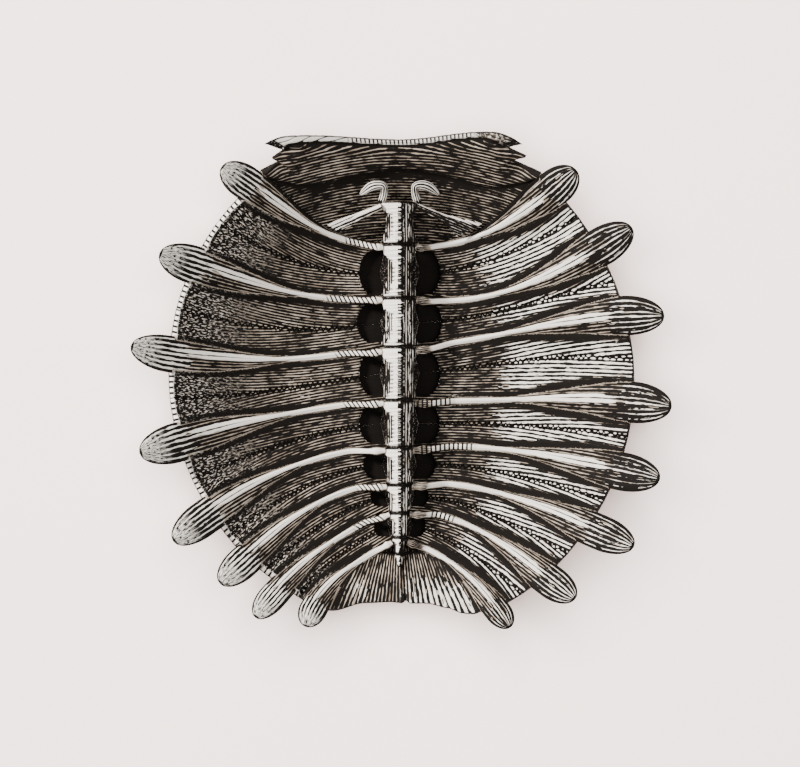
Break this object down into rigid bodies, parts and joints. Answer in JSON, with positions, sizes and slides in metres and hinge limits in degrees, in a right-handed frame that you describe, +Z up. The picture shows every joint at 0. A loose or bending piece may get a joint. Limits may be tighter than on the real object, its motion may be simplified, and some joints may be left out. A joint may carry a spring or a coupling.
{
  "type": "softshell turtle carapace",
  "caption": "Bony upper shell of a softshell turtle lying on its back: saw-edged rib plates with free rib ends, broad front plate and backbone along the inside.",
  "frame": {"origin": "on the floor below the middle of the shell's bounding box, at the lowest level of the domed back", "axes": "+Z up out of the hollow inside of the shell, +X across the shell over the longest rib ends, +Y towards the head end with its broad front plate"},
  "size_m": [0.3246, 0.299, 0.0663],
  "materials": {
    "nuchal_bone": "dry matt bone, brown in the hollow",
    "costal_bone": "dry matt bone, striated, paler on the rib crests",
    "column_bone": "dry matt bone, pale and smooth"
  },
  "bodies": {
    "root": {"nuchal": "nuchal_bone", "costal_left_1": "costal_bone", "costal_left_2": "costal_bone", "costal_left_3": "costal_bone", "costal_left_4": "costal_bone", "costal_left_5": "costal_bone", "costal_left_6": "costal_bone", "costal_left_7": "costal_bone", "costal_left_8": "costal_bone", "costal_right_1": "costal_bone", "costal_right_2": "costal_bone", "costal_right_3": "costal_bone", "costal_right_4": "costal_bone", "costal_right_5": "costal_bone", "costal_right_6": "costal_bone", "costal_right_7": "costal_bone", "costal_right_8": "costal_bone", "vertebra_1": "column_bone", "vertebra_2": "column_bone", "vertebra_3": "column_bone", "vertebra_4": "column_bone", "vertebra_5": "column_bone", "vertebra_6": "column_bone", "vertebra_7": "column_bone", "vertebra_8": "column_bone", "vertebra_9": "column_bone", "vertebra_10": "column_bone", "first_rib_left": "column_bone", "first_rib_right": "column_bone"}
  },
  "joints": []
}
